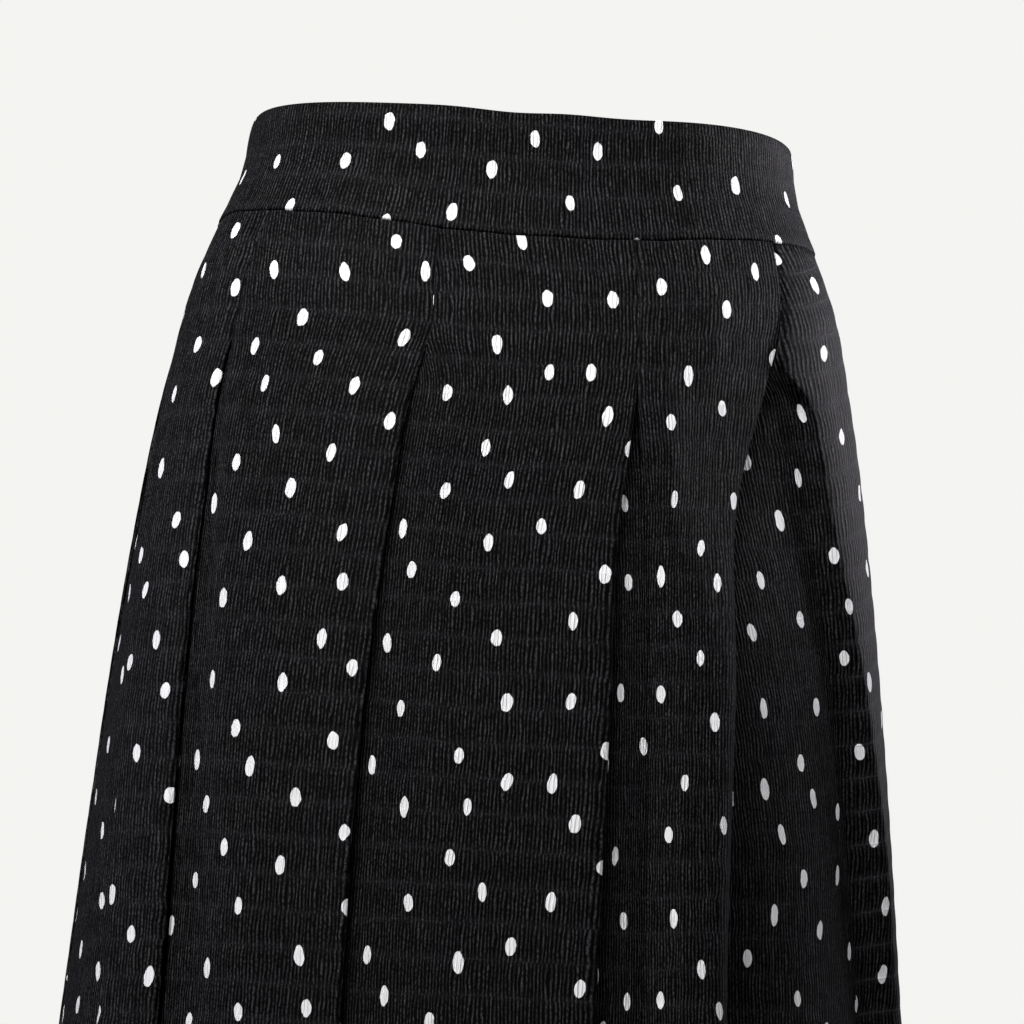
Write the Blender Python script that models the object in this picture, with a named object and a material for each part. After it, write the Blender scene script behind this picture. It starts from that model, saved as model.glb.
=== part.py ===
# A pull-on pleated midi skirt, hollow and open at the waist and at the hem, as it hangs when worn.
# Metres, +Z up, front towards -Y, the wearer's left towards +X, origin at the centre of the waist opening.
# Every wall is built from sections: a rounded outline at each height, walked once round the skirt,
# with each pleat folded into it as three layers that open below the stitching that holds them.

import math
from collections import namedtuple

import bmesh
import bpy
import numpy as np

# Driving dimensions
SKIRT_LENGTH = 0.780  # mean level of the waistband's top edge to the hem
SEAM_DROP = 0.0535  # waist seam below that level, mean of front and sides
WAIST_DIP = 0.0037  # the top edge lies this much lower at the front and back, and higher at the sides
SEAM_DIP = 0.0092  # the same for the waist seam, so the band is deepest at the front and back
CLOTH_THICKNESS = 0.0012
BAND_THICKNESS = 0.0026  # band folded double
BAND_PROUD = 0.0004  # band stands out past the skirt at the waist seam
SEAM_GAP = 0.0003  # between the pieces at every seam
HEM_DEPTH = 0.025  # cloth turned up inside
HEM_THICKNESS = 0.0010  # what the turned-up cloth adds
HEM_START = 0.002  # share of the skirt's height over which that cloth begins
CLOTH_ROUND = 1.510  # width of the skirt's cloth, all round, before pleating
TIGHT_FOLD = 0.00095  # radius of a pressed fold where it is stitched
LOOSE_FOLD = 0.0026  # radius of the same fold at the hem
LEAST_HIDDEN = 0.006  # a pleat keeps at least this much cloth turned under
FOLD_ROOM = 0.004  # left free between a hidden fold and the pleat before it
NOTCH = 0.0036  # stitched pleat: width of the crease beside its fold
UNDERLAY_STEP = 0.0027  # stitched pleat: from its edge to where the cloth underneath turns up
LIP_REACH = 0.035  # a standing fold lifts off over this width
SINK_TAKES = 1.2  # width of cloth used up by the sunken layer, for each unit of its depth

# Named heights, as shares of the way from the waist seam to the hem
HEIGHTS = {"seam": 0.0, "released": 0.066, "hip": 0.185, "thigh": 0.30, "above_knee": 0.475, "hem": 1.0}
OPENING_POWER = 0.42  # a pleat opens fast below its stitching, then slowly
SINKING_POWER = 0.60  # the layer underneath sinks more evenly
MOST_OPEN = 1.0  # as a share of the opening above the knee
MOST_SUNK = 1.25  # as a share of the depth above the knee

# The outline at each height: down is a share of the way from the waist seam to the hem
Section = namedtuple("Section", "down half_width half_depth squareness")
SECTIONS = (
    Section(0.000, 0.1380, 0.1030, 2.46),
    Section(0.035, 0.1475, 0.1130, 2.44),
    Section(0.100, 0.1575, 0.1230, 2.38),
    Section(0.200, 0.1685, 0.1340, 2.30),
    Section(0.290, 0.1760, 0.1415, 2.24),
    Section(0.380, 0.1823, 0.1485, 2.20),
    Section(0.475, 0.1882, 0.1550, 2.17),
    Section(0.700, 0.2040, 0.1710, 2.12),
    Section(1.000, 0.2270, 0.1935, 2.10),
)

# The waistband: down is a share of the way from its top edge to the waist seam
BAND_SECTIONS = (
    Section(0.00, 0.1250, 0.0920, 2.60),
    Section(0.50, 0.1287, 0.0950, 2.55),
    Section(1.00, 0.1380, 0.1030, 2.46),
)

# The pleats, in order round the skirt. The first six numbers place the folded edge at the named heights,
# in hundredths of the way round from the centre front. mouth and mouth_hem are how far the pleat stands
# open above the knee and at the hem, in the same hundredths. sink is how deep the cloth underneath lies
# above the knee, and valley is where in the mouth it is deepest. lip is how far the folded edge stands
# out there, and roll is the cloth that has turned over the edge below the stitching.
Pleat = namedtuple(
    "Pleat", "name seam released hip thigh above_knee hem mouth mouth_hem sink valley lip roll"
)
PLEATS = (
    Pleat("side_right", -25.0, -24.8, -24.6, -24.3, -24.0, -24.0, 6.0, 5.0, 0.014, 0.30, 0.001, 0.000),
    Pleat("front_1", -16.3, -16.1, -16.1, -15.4, -14.2, -14.6, 4.4, 4.2, 0.009, 0.16, 0.003, 0.000),
    Pleat("front_2", -5.7, -5.3, -6.3, -6.8, -6.7, -6.2, 4.6, 4.4, 0.011, 0.14, 0.003, 0.000),
    Pleat("front_3", 5.4, 5.1, 3.8, 3.5, 3.1, 3.9, 2.5, 3.2, 0.013, 0.72, 0.002, 0.000),
    Pleat("front_4", 15.0, 13.3, 9.75, 9.05, 8.5, 11.0, 11.4, 6.4, 0.020, 0.62, 0.008, 0.036),
    Pleat("side_left", 25.0, 24.8, 24.9, 24.8, 24.6, 24.3, 4.6, 4.6, 0.014, 0.30, 0.004, 0.000),
    Pleat("back_1", 34.3, 33.9, 33.6, 33.4, 33.4, 34.2, 4.2, 4.0, 0.012, 0.22, 0.004, 0.000),
    Pleat("back_2", 44.4, 44.2, 43.6, 43.4, 43.3, 44.0, 4.2, 4.4, 0.010, 0.18, 0.003, 0.000),
    Pleat("back_3", 55.6, 55.3, 54.4, 54.0, 53.9, 54.6, 3.6, 3.8, 0.013, 0.60, 0.003, 0.000),
    Pleat("back_4", 65.7, 65.1, 63.9, 63.6, 63.6, 64.8, 5.4, 4.6, 0.014, 0.45, 0.005, 0.000),
)

# Heights at which the skirt's wall has a row of points, and how finely each piece is divided
ROWS = (0.0, 0.033, 0.066, 0.080, 0.105, 0.140, 0.185, 0.27, 0.38, 0.52, 0.68, 0.84)
PANEL_STEPS = 3  # from a pleat's shoulder to the next pleat's hidden fold
MOUTH_STEPS = 4  # from a pleat's folded edge to its shoulder, across the cloth underneath
SEAM_POINT = PANEL_STEPS + 9  # a side seam lies past both folds, in the layer underneath
BAND_ROWS = (0.0, 0.25, 0.5, 0.75, 1.0)
BAND_STEPS = 22  # round each half
OUTLINE_SAMPLES = 720
DIRECTION_STEP = 0.002  # share of the way round over which the outline's direction is taken

BLACK_CLOTH = (0.012, 0.012, 0.014, 1.0)
SHARP_ANGLE = math.radians(50)


def smooth_between(knots, values, at):
    """A smooth curve through the knots (a cubic with the slopes of its neighbours)."""
    knots = np.asarray(knots, float)
    values = np.asarray(values, float)
    slopes = np.gradient(values, knots)
    i = int(np.clip(np.searchsorted(knots, at) - 1, 0, len(knots) - 2))
    width = knots[i + 1] - knots[i]
    x = (at - knots[i]) / width
    start = (1 + 2 * x) * (1 - x) ** 2 * values[i] + x * (1 - x) ** 2 * width * slopes[i]
    end = x * x * (3 - 2 * x) * values[i + 1] + x * x * (x - 1) * width * slopes[i + 1]
    return start + end


class Outline:
    """A rounded oval outline, walked by the share of the way round from the centre front."""

    def __init__(self, sections, down):
        knots = [section.down for section in sections]
        half_width, half_depth, squareness = (
            smooth_between(knots, [getattr(section, name) for section in sections], down)
            for name in ("half_width", "half_depth", "squareness")
        )
        turn = np.linspace(-math.pi, math.pi, OUTLINE_SAMPLES + 1)
        power = 2 / squareness
        self.x = half_width * np.sign(np.sin(turn)) * np.abs(np.sin(turn)) ** power
        self.y = -half_depth * np.sign(np.cos(turn)) * np.abs(np.cos(turn)) ** power
        way = np.concatenate([[0], np.cumsum(np.hypot(np.diff(self.x), np.diff(self.y)))])
        self.round = way[-1]
        self.shares = way / self.round - 0.5

    def on_line(self, share):
        share = (share + 0.5) % 1.0 - 0.5
        return np.array([np.interp(share, self.shares, self.x), np.interp(share, self.shares, self.y)])

    def point(self, share, out=0.0):
        """The point at this share of the way round, moved outwards by out."""
        along = self.on_line(share + DIRECTION_STEP) - self.on_line(share - DIRECTION_STEP)
        along /= np.linalg.norm(along)
        return self.on_line(share) + out * np.array([along[1], -along[0]])


def dip(share, amount):
    """Lower at the front and back, higher at the sides."""
    return -amount * math.cos(4 * math.pi * share)


def skirt_height(share, down):
    seam = -SEAM_DROP + dip(share, SEAM_DIP)
    return seam + down * (-SKIRT_LENGTH - seam)


def opening(down, power, most):
    """How far the pleats have opened, as a share of their opening above the knee."""
    released = HEIGHTS["released"]
    return min(most, max(0.0, (down - released) / (HEIGHTS["above_knee"] - released)) ** power)


def rise(x):
    """From 0 to 1 with no corner at either end."""
    x = min(1.0, max(0.0, x))
    return x * x * (3 - 2 * x)


def edge_share(pleat, down):
    """Where the pleat's folded edge lies, as a share of the way round."""
    places = [getattr(pleat, name) for name in HEIGHTS]
    return smooth_between(list(HEIGHTS.values()), places, down) / 100


def mouth_share(pleat, down, outline):
    """How far the pleat stands open past its folded edge."""
    low = rise((down - HEIGHTS["above_knee"]) / (HEIGHTS["hem"] - HEIGHTS["above_knee"]))
    wide = (pleat.mouth + (pleat.mouth_hem - pleat.mouth) * low) / 100
    return max(wide * opening(down, OPENING_POWER, MOST_OPEN), NOTCH / outline.round)


# One pleat at one height, in shares of the way round: the last pleat's shoulder, the hidden fold,
# the folded edge, and the shoulder where the cloth underneath comes up again
Place = namedtuple("Place", "start inner edge shoulder")


def pleat_places(outline, down):
    """Each pleat's place, with as much cloth hidden in it as its share of the cloth leaves over."""
    opened = opening(down, OPENING_POWER, MOST_OPEN)
    sunk = opening(down, SINKING_POWER, MOST_SUNK)
    edges = [edge_share(pleat, down) for pleat in PLEATS]
    shoulders = [edge + mouth_share(pleat, down, outline) for pleat, edge in zip(PLEATS, edges)]
    places = []
    for i, pleat in enumerate(PLEATS):
        following = (i + 1) % len(PLEATS)
        edge = edges[i]
        start = shoulders[i - 1]
        start -= round(start - edge + 0.5)
        shown = (edges[following] - edge) % 1.0 * outline.round + SINK_TAKES * pleat.sink * sunk
        cloth = CLOTH_ROUND / len(PLEATS) + (pleat.roll - PLEATS[following].roll) * opened
        room = (edge - start) * outline.round - FOLD_ROOM
        hidden = min(max((cloth - shown) / 2, LEAST_HIDDEN), room)
        places.append(Place(start, edge - hidden / outline.round, edge, shoulders[i]))
    return places


def pleat_path(pleat, place, fold, sunk, around):
    """The middle of the wall through one pleat, from the last pleat's shoulder nearly to its own."""
    lift = pleat.lip * min(1.0, sunk)
    turn = fold / around
    half = (place.inner + place.edge) / 2
    spread = 2 * fold * (1 + sunk)  # from the top layer to the layer turned under, at the hidden fold

    def top(share):
        return lift * rise(1 - (place.edge - share) * around / LIP_REACH)

    path = []
    for k in range(PANEL_STEPS):
        share = place.start + (place.inner - place.start) * k / PANEL_STEPS
        path.append((share, top(share)))
    path += [
        (place.inner, top(place.inner)),
        (half, top(half)),
        (place.edge, lift),
        (place.edge + turn, lift - fold),
        (place.edge, lift - 2 * fold),
        (half, top(half) - fold - spread / 2),
        (place.inner, top(place.inner) - spread),
        (place.inner - turn, top(place.inner) - spread - fold),
        (place.inner, top(place.inner) - spread - 2 * fold),
    ]
    bottom = -pleat.sink * sunk
    under = min(bottom, lift - 4 * fold)
    level = (path[-1][1] + under) / 2
    path.append((half, min(top(half) - spread - 2 * fold, level)))
    path.append((place.edge, under))
    mouth = place.shoulder - place.edge
    step = max(UNDERLAY_STEP / around, pleat.valley * mouth)
    deepest = min(bottom, -3 * fold)
    for k in range(MOUTH_STEPS - 1):
        climb = k / (MOUTH_STEPS - 1)
        path.append((place.edge + step + (mouth - step) * climb, deepest * (1 - rise(climb))))
    return path


def wall_path(down):
    """The middle of the wall, once round, as (share, out) pairs, and the side seams' places in it."""
    outline = Outline(SECTIONS, down)
    fold = TIGHT_FOLD + (LOOSE_FOLD - TIGHT_FOLD) * down
    sunk = opening(down, SINKING_POWER, MOST_SUNK)
    path = []
    seams = {}
    for pleat, place in zip(PLEATS, pleat_places(outline, down)):
        seams[pleat.name] = len(path) + SEAM_POINT
        path += pleat_path(pleat, place, fold, sunk, outline.round)
    return outline, path, seams


def panel_path(down, start, end):
    """The wall's middle in plan from one side seam to the other, with half a gap left at each."""
    outline, path, seams = wall_path(down)
    first = seams[start]
    count = (seams[end] - first) % len(path) + 1
    chosen = [path[(first + k) % len(path)] for k in range(count)]
    points = np.array([outline.point(share, out) for share, out in chosen])
    shares = [share for share, out in chosen]
    for end_point, neighbour in ((0, 1), (-1, -2)):
        along = points[neighbour] - points[end_point]
        points[end_point] += along / np.linalg.norm(along) * SEAM_GAP / 2
    return points, shares


def wall_sides(points, outer, inner):
    """The path moved out by outer and in by inner, square to the wall, with its corners mitred."""
    steps = np.diff(points, axis=0)
    steps /= np.linalg.norm(steps, axis=1)[:, None]
    arriving = np.vstack([steps[0], steps])
    leaving = np.vstack([steps, steps[-1]])
    both = arriving + leaving
    normals = np.column_stack([both[:, 1], -both[:, 0]])
    lengths = np.linalg.norm(normals, axis=1)
    normals *= np.minimum(2 / lengths**2, 1 / lengths)[:, None]
    return points + normals * outer, points - normals * inner


def cloth_material(name, colour):
    material = bpy.data.materials.new(name)
    material.use_nodes = True
    shader = material.node_tree.nodes["Principled BSDF"]
    shader.inputs["Base Color"].default_value = colour
    shader.inputs["Roughness"].default_value = 0.85
    shader.inputs["Metallic"].default_value = 0.0
    return material


def wall_object(name, rows, material):
    """A closed wall: each row holds its outer points, then its inner points, from one end to the other."""
    mesh = bmesh.new()
    outer = [[mesh.verts.new(point) for point in row[0]] for row in rows]
    inner = [[mesh.verts.new(point) for point in row[1]] for row in rows]
    last = len(rows) - 1
    end = len(outer[0]) - 1
    for j in range(last):
        for k in range(end):
            mesh.faces.new((outer[j][k], outer[j + 1][k], outer[j + 1][k + 1], outer[j][k + 1]))
            mesh.faces.new((inner[j][k], inner[j][k + 1], inner[j + 1][k + 1], inner[j + 1][k]))
        mesh.faces.new((outer[j][0], inner[j][0], inner[j + 1][0], outer[j + 1][0]))
        mesh.faces.new((outer[j][end], outer[j + 1][end], inner[j + 1][end], inner[j][end]))
    for k in range(end):
        mesh.faces.new((outer[0][k], outer[0][k + 1], inner[0][k + 1], inner[0][k]))
        mesh.faces.new((outer[last][k], inner[last][k], inner[last][k + 1], outer[last][k + 1]))
    bmesh.ops.recalc_face_normals(mesh, faces=mesh.faces)
    data = bpy.data.meshes.new(name)
    mesh.to_mesh(data)
    mesh.free()
    data.materials.append(material)
    data.shade_smooth()
    data.set_sharp_from_angle(angle=SHARP_ANGLE)
    piece = bpy.data.objects.new(name, data)
    bpy.context.scene.collection.objects.link(piece)
    return piece


def build_skirt_panel(name, start, end, material):
    """One skirt panel, side seam to side seam, with its hem turned up inside."""
    hem_top = 1 - HEM_DEPTH / (SKIRT_LENGTH - SEAM_DROP)
    heights = [(down, 0.0) for down in ROWS]
    heights += [(hem_top - HEM_START, 0.0), (hem_top, HEM_THICKNESS), (1.0, HEM_THICKNESS)]
    half = CLOTH_THICKNESS / 2
    rows = []
    for down, hem in heights:
        points, shares = panel_path(down, start, end)
        outer, inner = wall_sides(points, half, half + hem)
        levels = [skirt_height(share, down) for share in shares]
        if down == 0.0:
            levels = [level - SEAM_GAP / 2 for level in levels]
        rows.append((np.column_stack([outer, levels]), np.column_stack([inner, levels])))
    return wall_object(name, rows, material)


def build_band_half(name, first_share, material):
    """Half of the waistband, from one side seam to the other, rounded over at its folded top edge."""
    rounding = BAND_THICKNESS / 3
    half = BAND_THICKNESS / 2
    out = BAND_PROUD + CLOTH_THICKNESS / 2 - half
    heights = [(0.0, half - rounding, 0.0), (0.0, half, -rounding)]
    heights += [(down, half, 0.0) for down in BAND_ROWS[1:]]
    rows = []
    for down, side, lower in heights:
        outline = Outline(BAND_SECTIONS, down)
        gap = SEAM_GAP / 2 / outline.round
        shares = np.linspace(first_share + gap, first_share + 0.5 - gap, BAND_STEPS + 1)
        points = np.array([outline.point(share, out) for share in shares])
        outer, inner = wall_sides(points, side, side)
        levels = []
        for share in shares:
            top = dip(share, WAIST_DIP)
            bottom = -SEAM_DROP + dip(share, SEAM_DIP) + SEAM_GAP / 2
            levels.append(top + down * (bottom - top) + lower)
        rows.append((np.column_stack([outer, levels]), np.column_stack([inner, levels])))
    return wall_object(name, rows, material)


def main():
    for old in list(bpy.data.objects):
        bpy.data.objects.remove(old)
    skirt = bpy.data.objects.new("pleated_skirt", None)
    bpy.context.scene.collection.objects.link(skirt)
    crinkle = cloth_material("black_crinkle_cloth", BLACK_CLOTH)
    pieces = (
        build_band_half("waistband_front", -0.25, crinkle),
        build_band_half("waistband_back", 0.25, crinkle),
        build_skirt_panel("skirt_front", "side_right", "side_left", crinkle),
        build_skirt_panel("skirt_back", "side_left", "side_right", crinkle),
    )
    for piece in pieces:
        piece.parent = skirt


main()
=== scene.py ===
import math

import bmesh
import bpy
import numpy as np
from mathutils import Matrix, Vector


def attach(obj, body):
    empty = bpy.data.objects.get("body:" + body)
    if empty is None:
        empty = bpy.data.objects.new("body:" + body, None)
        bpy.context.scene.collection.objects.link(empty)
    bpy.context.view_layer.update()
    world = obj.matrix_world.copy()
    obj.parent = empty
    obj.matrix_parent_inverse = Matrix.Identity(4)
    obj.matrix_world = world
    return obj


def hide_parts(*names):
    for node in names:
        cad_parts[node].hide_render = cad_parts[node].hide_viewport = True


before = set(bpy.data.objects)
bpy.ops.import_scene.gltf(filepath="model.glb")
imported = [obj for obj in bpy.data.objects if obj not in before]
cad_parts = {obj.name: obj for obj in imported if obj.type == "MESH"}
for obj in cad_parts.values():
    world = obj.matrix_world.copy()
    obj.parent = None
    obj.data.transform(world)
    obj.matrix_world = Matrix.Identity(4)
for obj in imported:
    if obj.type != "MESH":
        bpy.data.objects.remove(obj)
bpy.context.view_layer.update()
print("frame loaded:", ", ".join(sorted(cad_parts)))

viewpoint = {
    "distance": 2.30,  # metres from the skirt's middle line
    "around": -5.0,  # degrees, towards the skirt's own right
    "height": -0.581,
    "turn": -0.1,
    "tilt": 10.15,  # looking slightly up
    "roll": 2.64,
    "lens": 178.1,
    "sensor": 36.0,
}


def makeCamera(place):
    around = math.radians(place["around"])
    heading = around + math.radians(place["turn"])
    tilt = math.radians(place["tilt"])
    roll = math.radians(place["roll"])
    forward = Vector((
        -math.sin(heading) * math.cos(tilt),
        math.cos(heading) * math.cos(tilt),
        math.sin(tilt),
    ))
    right = Vector((math.cos(heading), math.sin(heading), 0.0))
    up = right.cross(forward)
    rolledRight = math.cos(roll) * right + math.sin(roll) * up
    rolledUp = -math.sin(roll) * right + math.cos(roll) * up
    camera = bpy.data.objects.new("camera", bpy.data.cameras.new("camera"))
    camera.data.lens = place["lens"]
    camera.data.sensor_width = place["sensor"]
    camera.matrix_world = Matrix((rolledRight, rolledUp, -forward)).transposed().to_4x4()
    camera.location = (
        place["distance"] * math.sin(around),
        -place["distance"] * math.cos(around),
        place["height"],
    )
    bpy.context.scene.collection.objects.link(camera)
    bpy.context.scene.camera = camera


makeCamera(viewpoint)
print("camera placed")

# the skirt's form, in the frame's own sizes

form = {
    "length": 0.780,
    "seamDrop": 0.0535,
    "waistDip": 0.0037,
    "seamDip": 0.0092,
    "seamUneven": 0.0003,
    "seamWaves": ((57.0, 1.1, 1.0), (151.0, 0.0, 0.6)),  # how close together, where each starts, how strong
    "clothRound": 1.510,
    "samples": 720,
    "directionStep": 0.002,
}

skirtOutline = {  # down: share of the way from the waist seam to the hem
    "down": (0.000, 0.035, 0.100, 0.200, 0.290, 0.380, 0.475, 0.700, 1.000),
    "halfWidth": (0.1380, 0.1475, 0.1575, 0.1685, 0.1760, 0.1823, 0.1882, 0.2040, 0.2270),
    "halfDepth": (0.1030, 0.1130, 0.1230, 0.1340, 0.1415, 0.1485, 0.1550, 0.1710, 0.1935),
    "squareness": (2.46, 2.44, 2.38, 2.30, 2.24, 2.20, 2.17, 2.12, 2.10),
}


def smoothBetween(knots, values, at):
    knots = np.asarray(knots, float)
    values = np.asarray(values, float)
    slopes = np.gradient(values, knots)
    i = int(np.clip(np.searchsorted(knots, at) - 1, 0, len(knots) - 2))
    width = knots[i + 1] - knots[i]
    x = (at - knots[i]) / width
    start = (1 + 2 * x) * (1 - x) ** 2 * values[i] + x * (1 - x) ** 2 * width * slopes[i]
    end = x * x * (3 - 2 * x) * values[i + 1] + x * x * (x - 1) * width * slopes[i + 1]
    return start + end


def rise(x):
    x = np.clip(x, 0.0, 1.0)
    return x * x * (3 - 2 * x)


def outlineAt(sections, down):
    halfWidth, halfDepth, squareness = (
        smoothBetween(sections["down"], sections[key], down)
        for key in ("halfWidth", "halfDepth", "squareness")
    )
    turn = np.linspace(-math.pi, math.pi, form["samples"] + 1)
    x = halfWidth * np.sign(np.sin(turn)) * np.abs(np.sin(turn)) ** (2 / squareness)
    y = -halfDepth * np.sign(np.cos(turn)) * np.abs(np.cos(turn)) ** (2 / squareness)
    way = np.concatenate([[0], np.cumsum(np.hypot(np.diff(x), np.diff(y)))])
    return {"x": x, "y": y, "round": way[-1], "shares": way / way[-1] - 0.5}


def onOutline(outline, share, out):
    def line(at):
        at = (at + 0.5) % 1.0 - 0.5
        return np.interp(at, outline["shares"], outline["x"]), np.interp(at, outline["shares"], outline["y"])

    x, y = line(share)
    aheadX, aheadY = line(share + form["directionStep"])
    behindX, behindY = line(share - form["directionStep"])
    alongX, alongY = aheadX - behindX, aheadY - behindY
    length = np.hypot(alongX, alongY)
    return np.column_stack([x + out * alongY / length, y - out * alongX / length])


def dip(share, amount):
    return -amount * np.cos(4 * math.pi * share)


def seamLevel(share):
    uneven = sum(strong * np.sin(share * close + start) for close, start, strong in form["seamWaves"])
    return -form["seamDrop"] + dip(share, form["seamDip"]) + form["seamUneven"] * uneven


# dots: one small repeat, in steps across and down the flat cloth, dropped by half in each next column

dots = {
    "unit": 0.0087,  # metres to one step
    "across": 12.0,
    "down": 21.0,
    "halfWidth": 0.00228,
    "halfHeight": 0.00405,
    "uneven": 0.08,
    "stray": 0.0012,
    "tilt": 4.5,  # degrees
    "seed": 5,
    "columns": (-10, 18),
    "rows": (-2, 6),
    "margin": 0.03,  # dots are laid this far past the cloth
    "edge": (0.95, 1.06),  # where a dot's print fades out, in its own half sizes
    "edgeScale": (330, 260),
    "chart": (
        (8.0, 1.0), (5.9, 3.3), (9.7, 2.6), (1.7, 3.4), (11.5, 5.1), (8.9, 6.2), (3.6, 5.8), (0.8, 7.4),
        (4.7, 7.8), (7.3, 9.0), (1.9, 9.5), (9.5, 10.8), (3.4, 11.6), (6.6, 12.4), (1.2, 13.4), (10.4, 14.2),
        (4.6, 14.6), (8.1, 16.6), (2.8, 17.6), (10.6, 18.0), (1.5, 20.3), (5.1, 19.6), (8.6, 19.3),
    ),
}


def dotPlaces(flat, stretched):
    random = np.random.default_rng(dots["seed"])
    unit = dots["unit"] * stretched
    left, top = flat.min(axis=(0, 1)) - dots["margin"]
    right, bottom = flat.max(axis=(0, 1)) + dots["margin"]
    places = []
    for column in range(*dots["columns"]):
        for row in range(*dots["rows"]):
            drop = (row + (column % 2) / 2) * dots["down"]
            for u, v in dots["chart"]:
                straying = random.normal(0.0, dots["stray"], 2)
                wide, tall = 1 + random.normal(0.0, dots["uneven"], 2)
                tilt = math.radians(random.normal(0.0, dots["tilt"]))
                across = (column * dots["across"] + u) * unit + straying[0]
                down = (drop + v) * unit + straying[1]
                if left < across < right and top < down < bottom:
                    places.append((across, down, wide * dots["halfWidth"], tall * dots["halfHeight"], tilt))
    return np.array(places)


def nearestDot(u, v, places):
    best = np.full(len(u), np.inf)
    nearest = np.zeros(len(u), int)
    for i, (dotU, dotV, wide, tall, tilt) in enumerate(places):
        away = ((u - dotU) / wide) ** 2 + ((v - dotV) / tall) ** 2
        closer = away < best
        best[closer] = away[closer]
        nearest[closer] = i
    return nearest


def fromDotCentre(at, places, chosen):
    away = at - places[chosen, :2]
    turn = places[chosen, 4]
    across = away[:, 0] * np.cos(turn) + away[:, 1] * np.sin(turn)
    down = away[:, 1] * np.cos(turn) - away[:, 0] * np.sin(turn)
    return np.column_stack([across, down]) / places[chosen, 2:4]


# cloth: a grid laid on the form, with its flat place and its nearest dot kept as maps

def clothPiece(name, points, flat, places, material, thickness, thin=None):
    rows, columns = points.shape[:2]
    mesh = bmesh.new()
    bmesh.ops.create_grid(mesh, x_segments=columns - 1, y_segments=rows - 1, size=1.0)
    data = bpy.data.meshes.new(name)
    mesh.to_mesh(data)
    mesh.free()
    at = np.empty(len(data.vertices) * 3, np.float32)
    data.vertices.foreach_get("co", at)
    at = at.reshape(-1, 3)
    column = np.rint((at[:, 0] + 1) / 2 * (columns - 1)).astype(int)
    row = np.rint((1 - at[:, 1]) / 2 * (rows - 1)).astype(int)
    data.vertices.foreach_set("co", points[row, column].astype(np.float32).ravel())
    corners = np.empty(len(data.loops), np.int32)
    data.loops.foreach_get("vertex_index", corners)
    cornerFlat = flat[row, column][corners]
    faceFlat = cornerFlat.reshape(-1, 4, 2).mean(axis=1)
    dot = np.repeat(nearestDot(faceFlat[:, 0], faceFlat[:, 1], places), 4)
    fromDot = fromDotCentre(cornerFlat, places, dot)
    data.uv_layers.new(name="cloth").uv.foreach_set("vector", cornerFlat.astype(np.float32).ravel())
    data.uv_layers.new(name="dot").uv.foreach_set("vector", fromDot.astype(np.float32).ravel())
    data.shade_smooth()
    data.materials.append(material)
    data.update()
    piece = bpy.data.objects.new(name, data)
    bpy.context.scene.collection.objects.link(piece)
    wall = piece.modifiers.new("wall", "SOLIDIFY")
    wall.thickness = thickness
    wall.offset = 0.0
    if thin is not None:
        group = piece.vertex_groups.new(name="hem")
        for j in range(rows):
            chosen = np.flatnonzero(row == j).tolist()
            group.add(chosen, float(thin[j]), "REPLACE")
        wall.vertex_group = "hem"
        wall.thickness_vertex_group = 0.0
    print(name, "made:", rows, "rows,", columns, "columns")
    return piece


# materials

def addNode(tree, kind, values=None, **settings):
    node = tree.nodes.new(kind)
    for key, value in settings.items():
        setattr(node, key, value)
    for key, value in (values or {}).items():
        if isinstance(value, bpy.types.NodeSocket):
            tree.links.new(value, node.inputs[key])
        else:
            node.inputs[key].default_value = value
    return node


def calculate(tree, operation, first, second=0.0):
    return addNode(tree, "ShaderNodeMath", {0: first, 1: second}, operation=operation).outputs[0]


def spread(tree, value, low, high, toLow, toHigh):
    node = addNode(
        tree,
        "ShaderNodeMapRange",
        {"Value": value, "From Min": low, "From Max": high, "To Min": toLow, "To Max": toHigh},
        interpolation_type="SMOOTHSTEP",
    )
    return node.outputs["Result"]


def blendColour(tree, share, first, second):
    node = addNode(tree, "ShaderNodeMix", {0: share}, data_type="RGBA")
    for socket, value in ((node.inputs[6], first), (node.inputs[7], second)):
        if isinstance(value, bpy.types.NodeSocket):
            tree.links.new(value, socket)
        else:
            socket.default_value = value
    return node.outputs[2]


def mottle(tree, x, y, scaleX, scaleY, detail=1.0):
    place = addNode(
        tree,
        "ShaderNodeCombineXYZ",
        {"X": calculate(tree, "MULTIPLY", x, scaleX), "Y": calculate(tree, "MULTIPLY", y, scaleY)},
    )
    noise = addNode(
        tree,
        "ShaderNodeTexNoise",
        {"Vector": place.outputs[0], "Scale": 1.0, "Detail": detail},
        noise_dimensions="2D",
    )
    return calculate(tree, "SUBTRACT", noise.outputs[0], 0.5)


def waver(tree, x, y, scaleX, scaleY, strength):
    return calculate(tree, "MULTIPLY", mottle(tree, x, y, scaleX, scaleY), strength)


def newGroup(name, inputs, outputs):
    tree = bpy.data.node_groups.new(name, "ShaderNodeTree")
    for label, kind in inputs:
        tree.interface.new_socket(label, in_out="INPUT", socket_type=kind)
    for label, kind in outputs:
        tree.interface.new_socket(label, in_out="OUTPUT", socket_type=kind)
    return tree, tree.nodes.new("NodeGroupInput").outputs, tree.nodes.new("NodeGroupOutput").inputs


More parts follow.
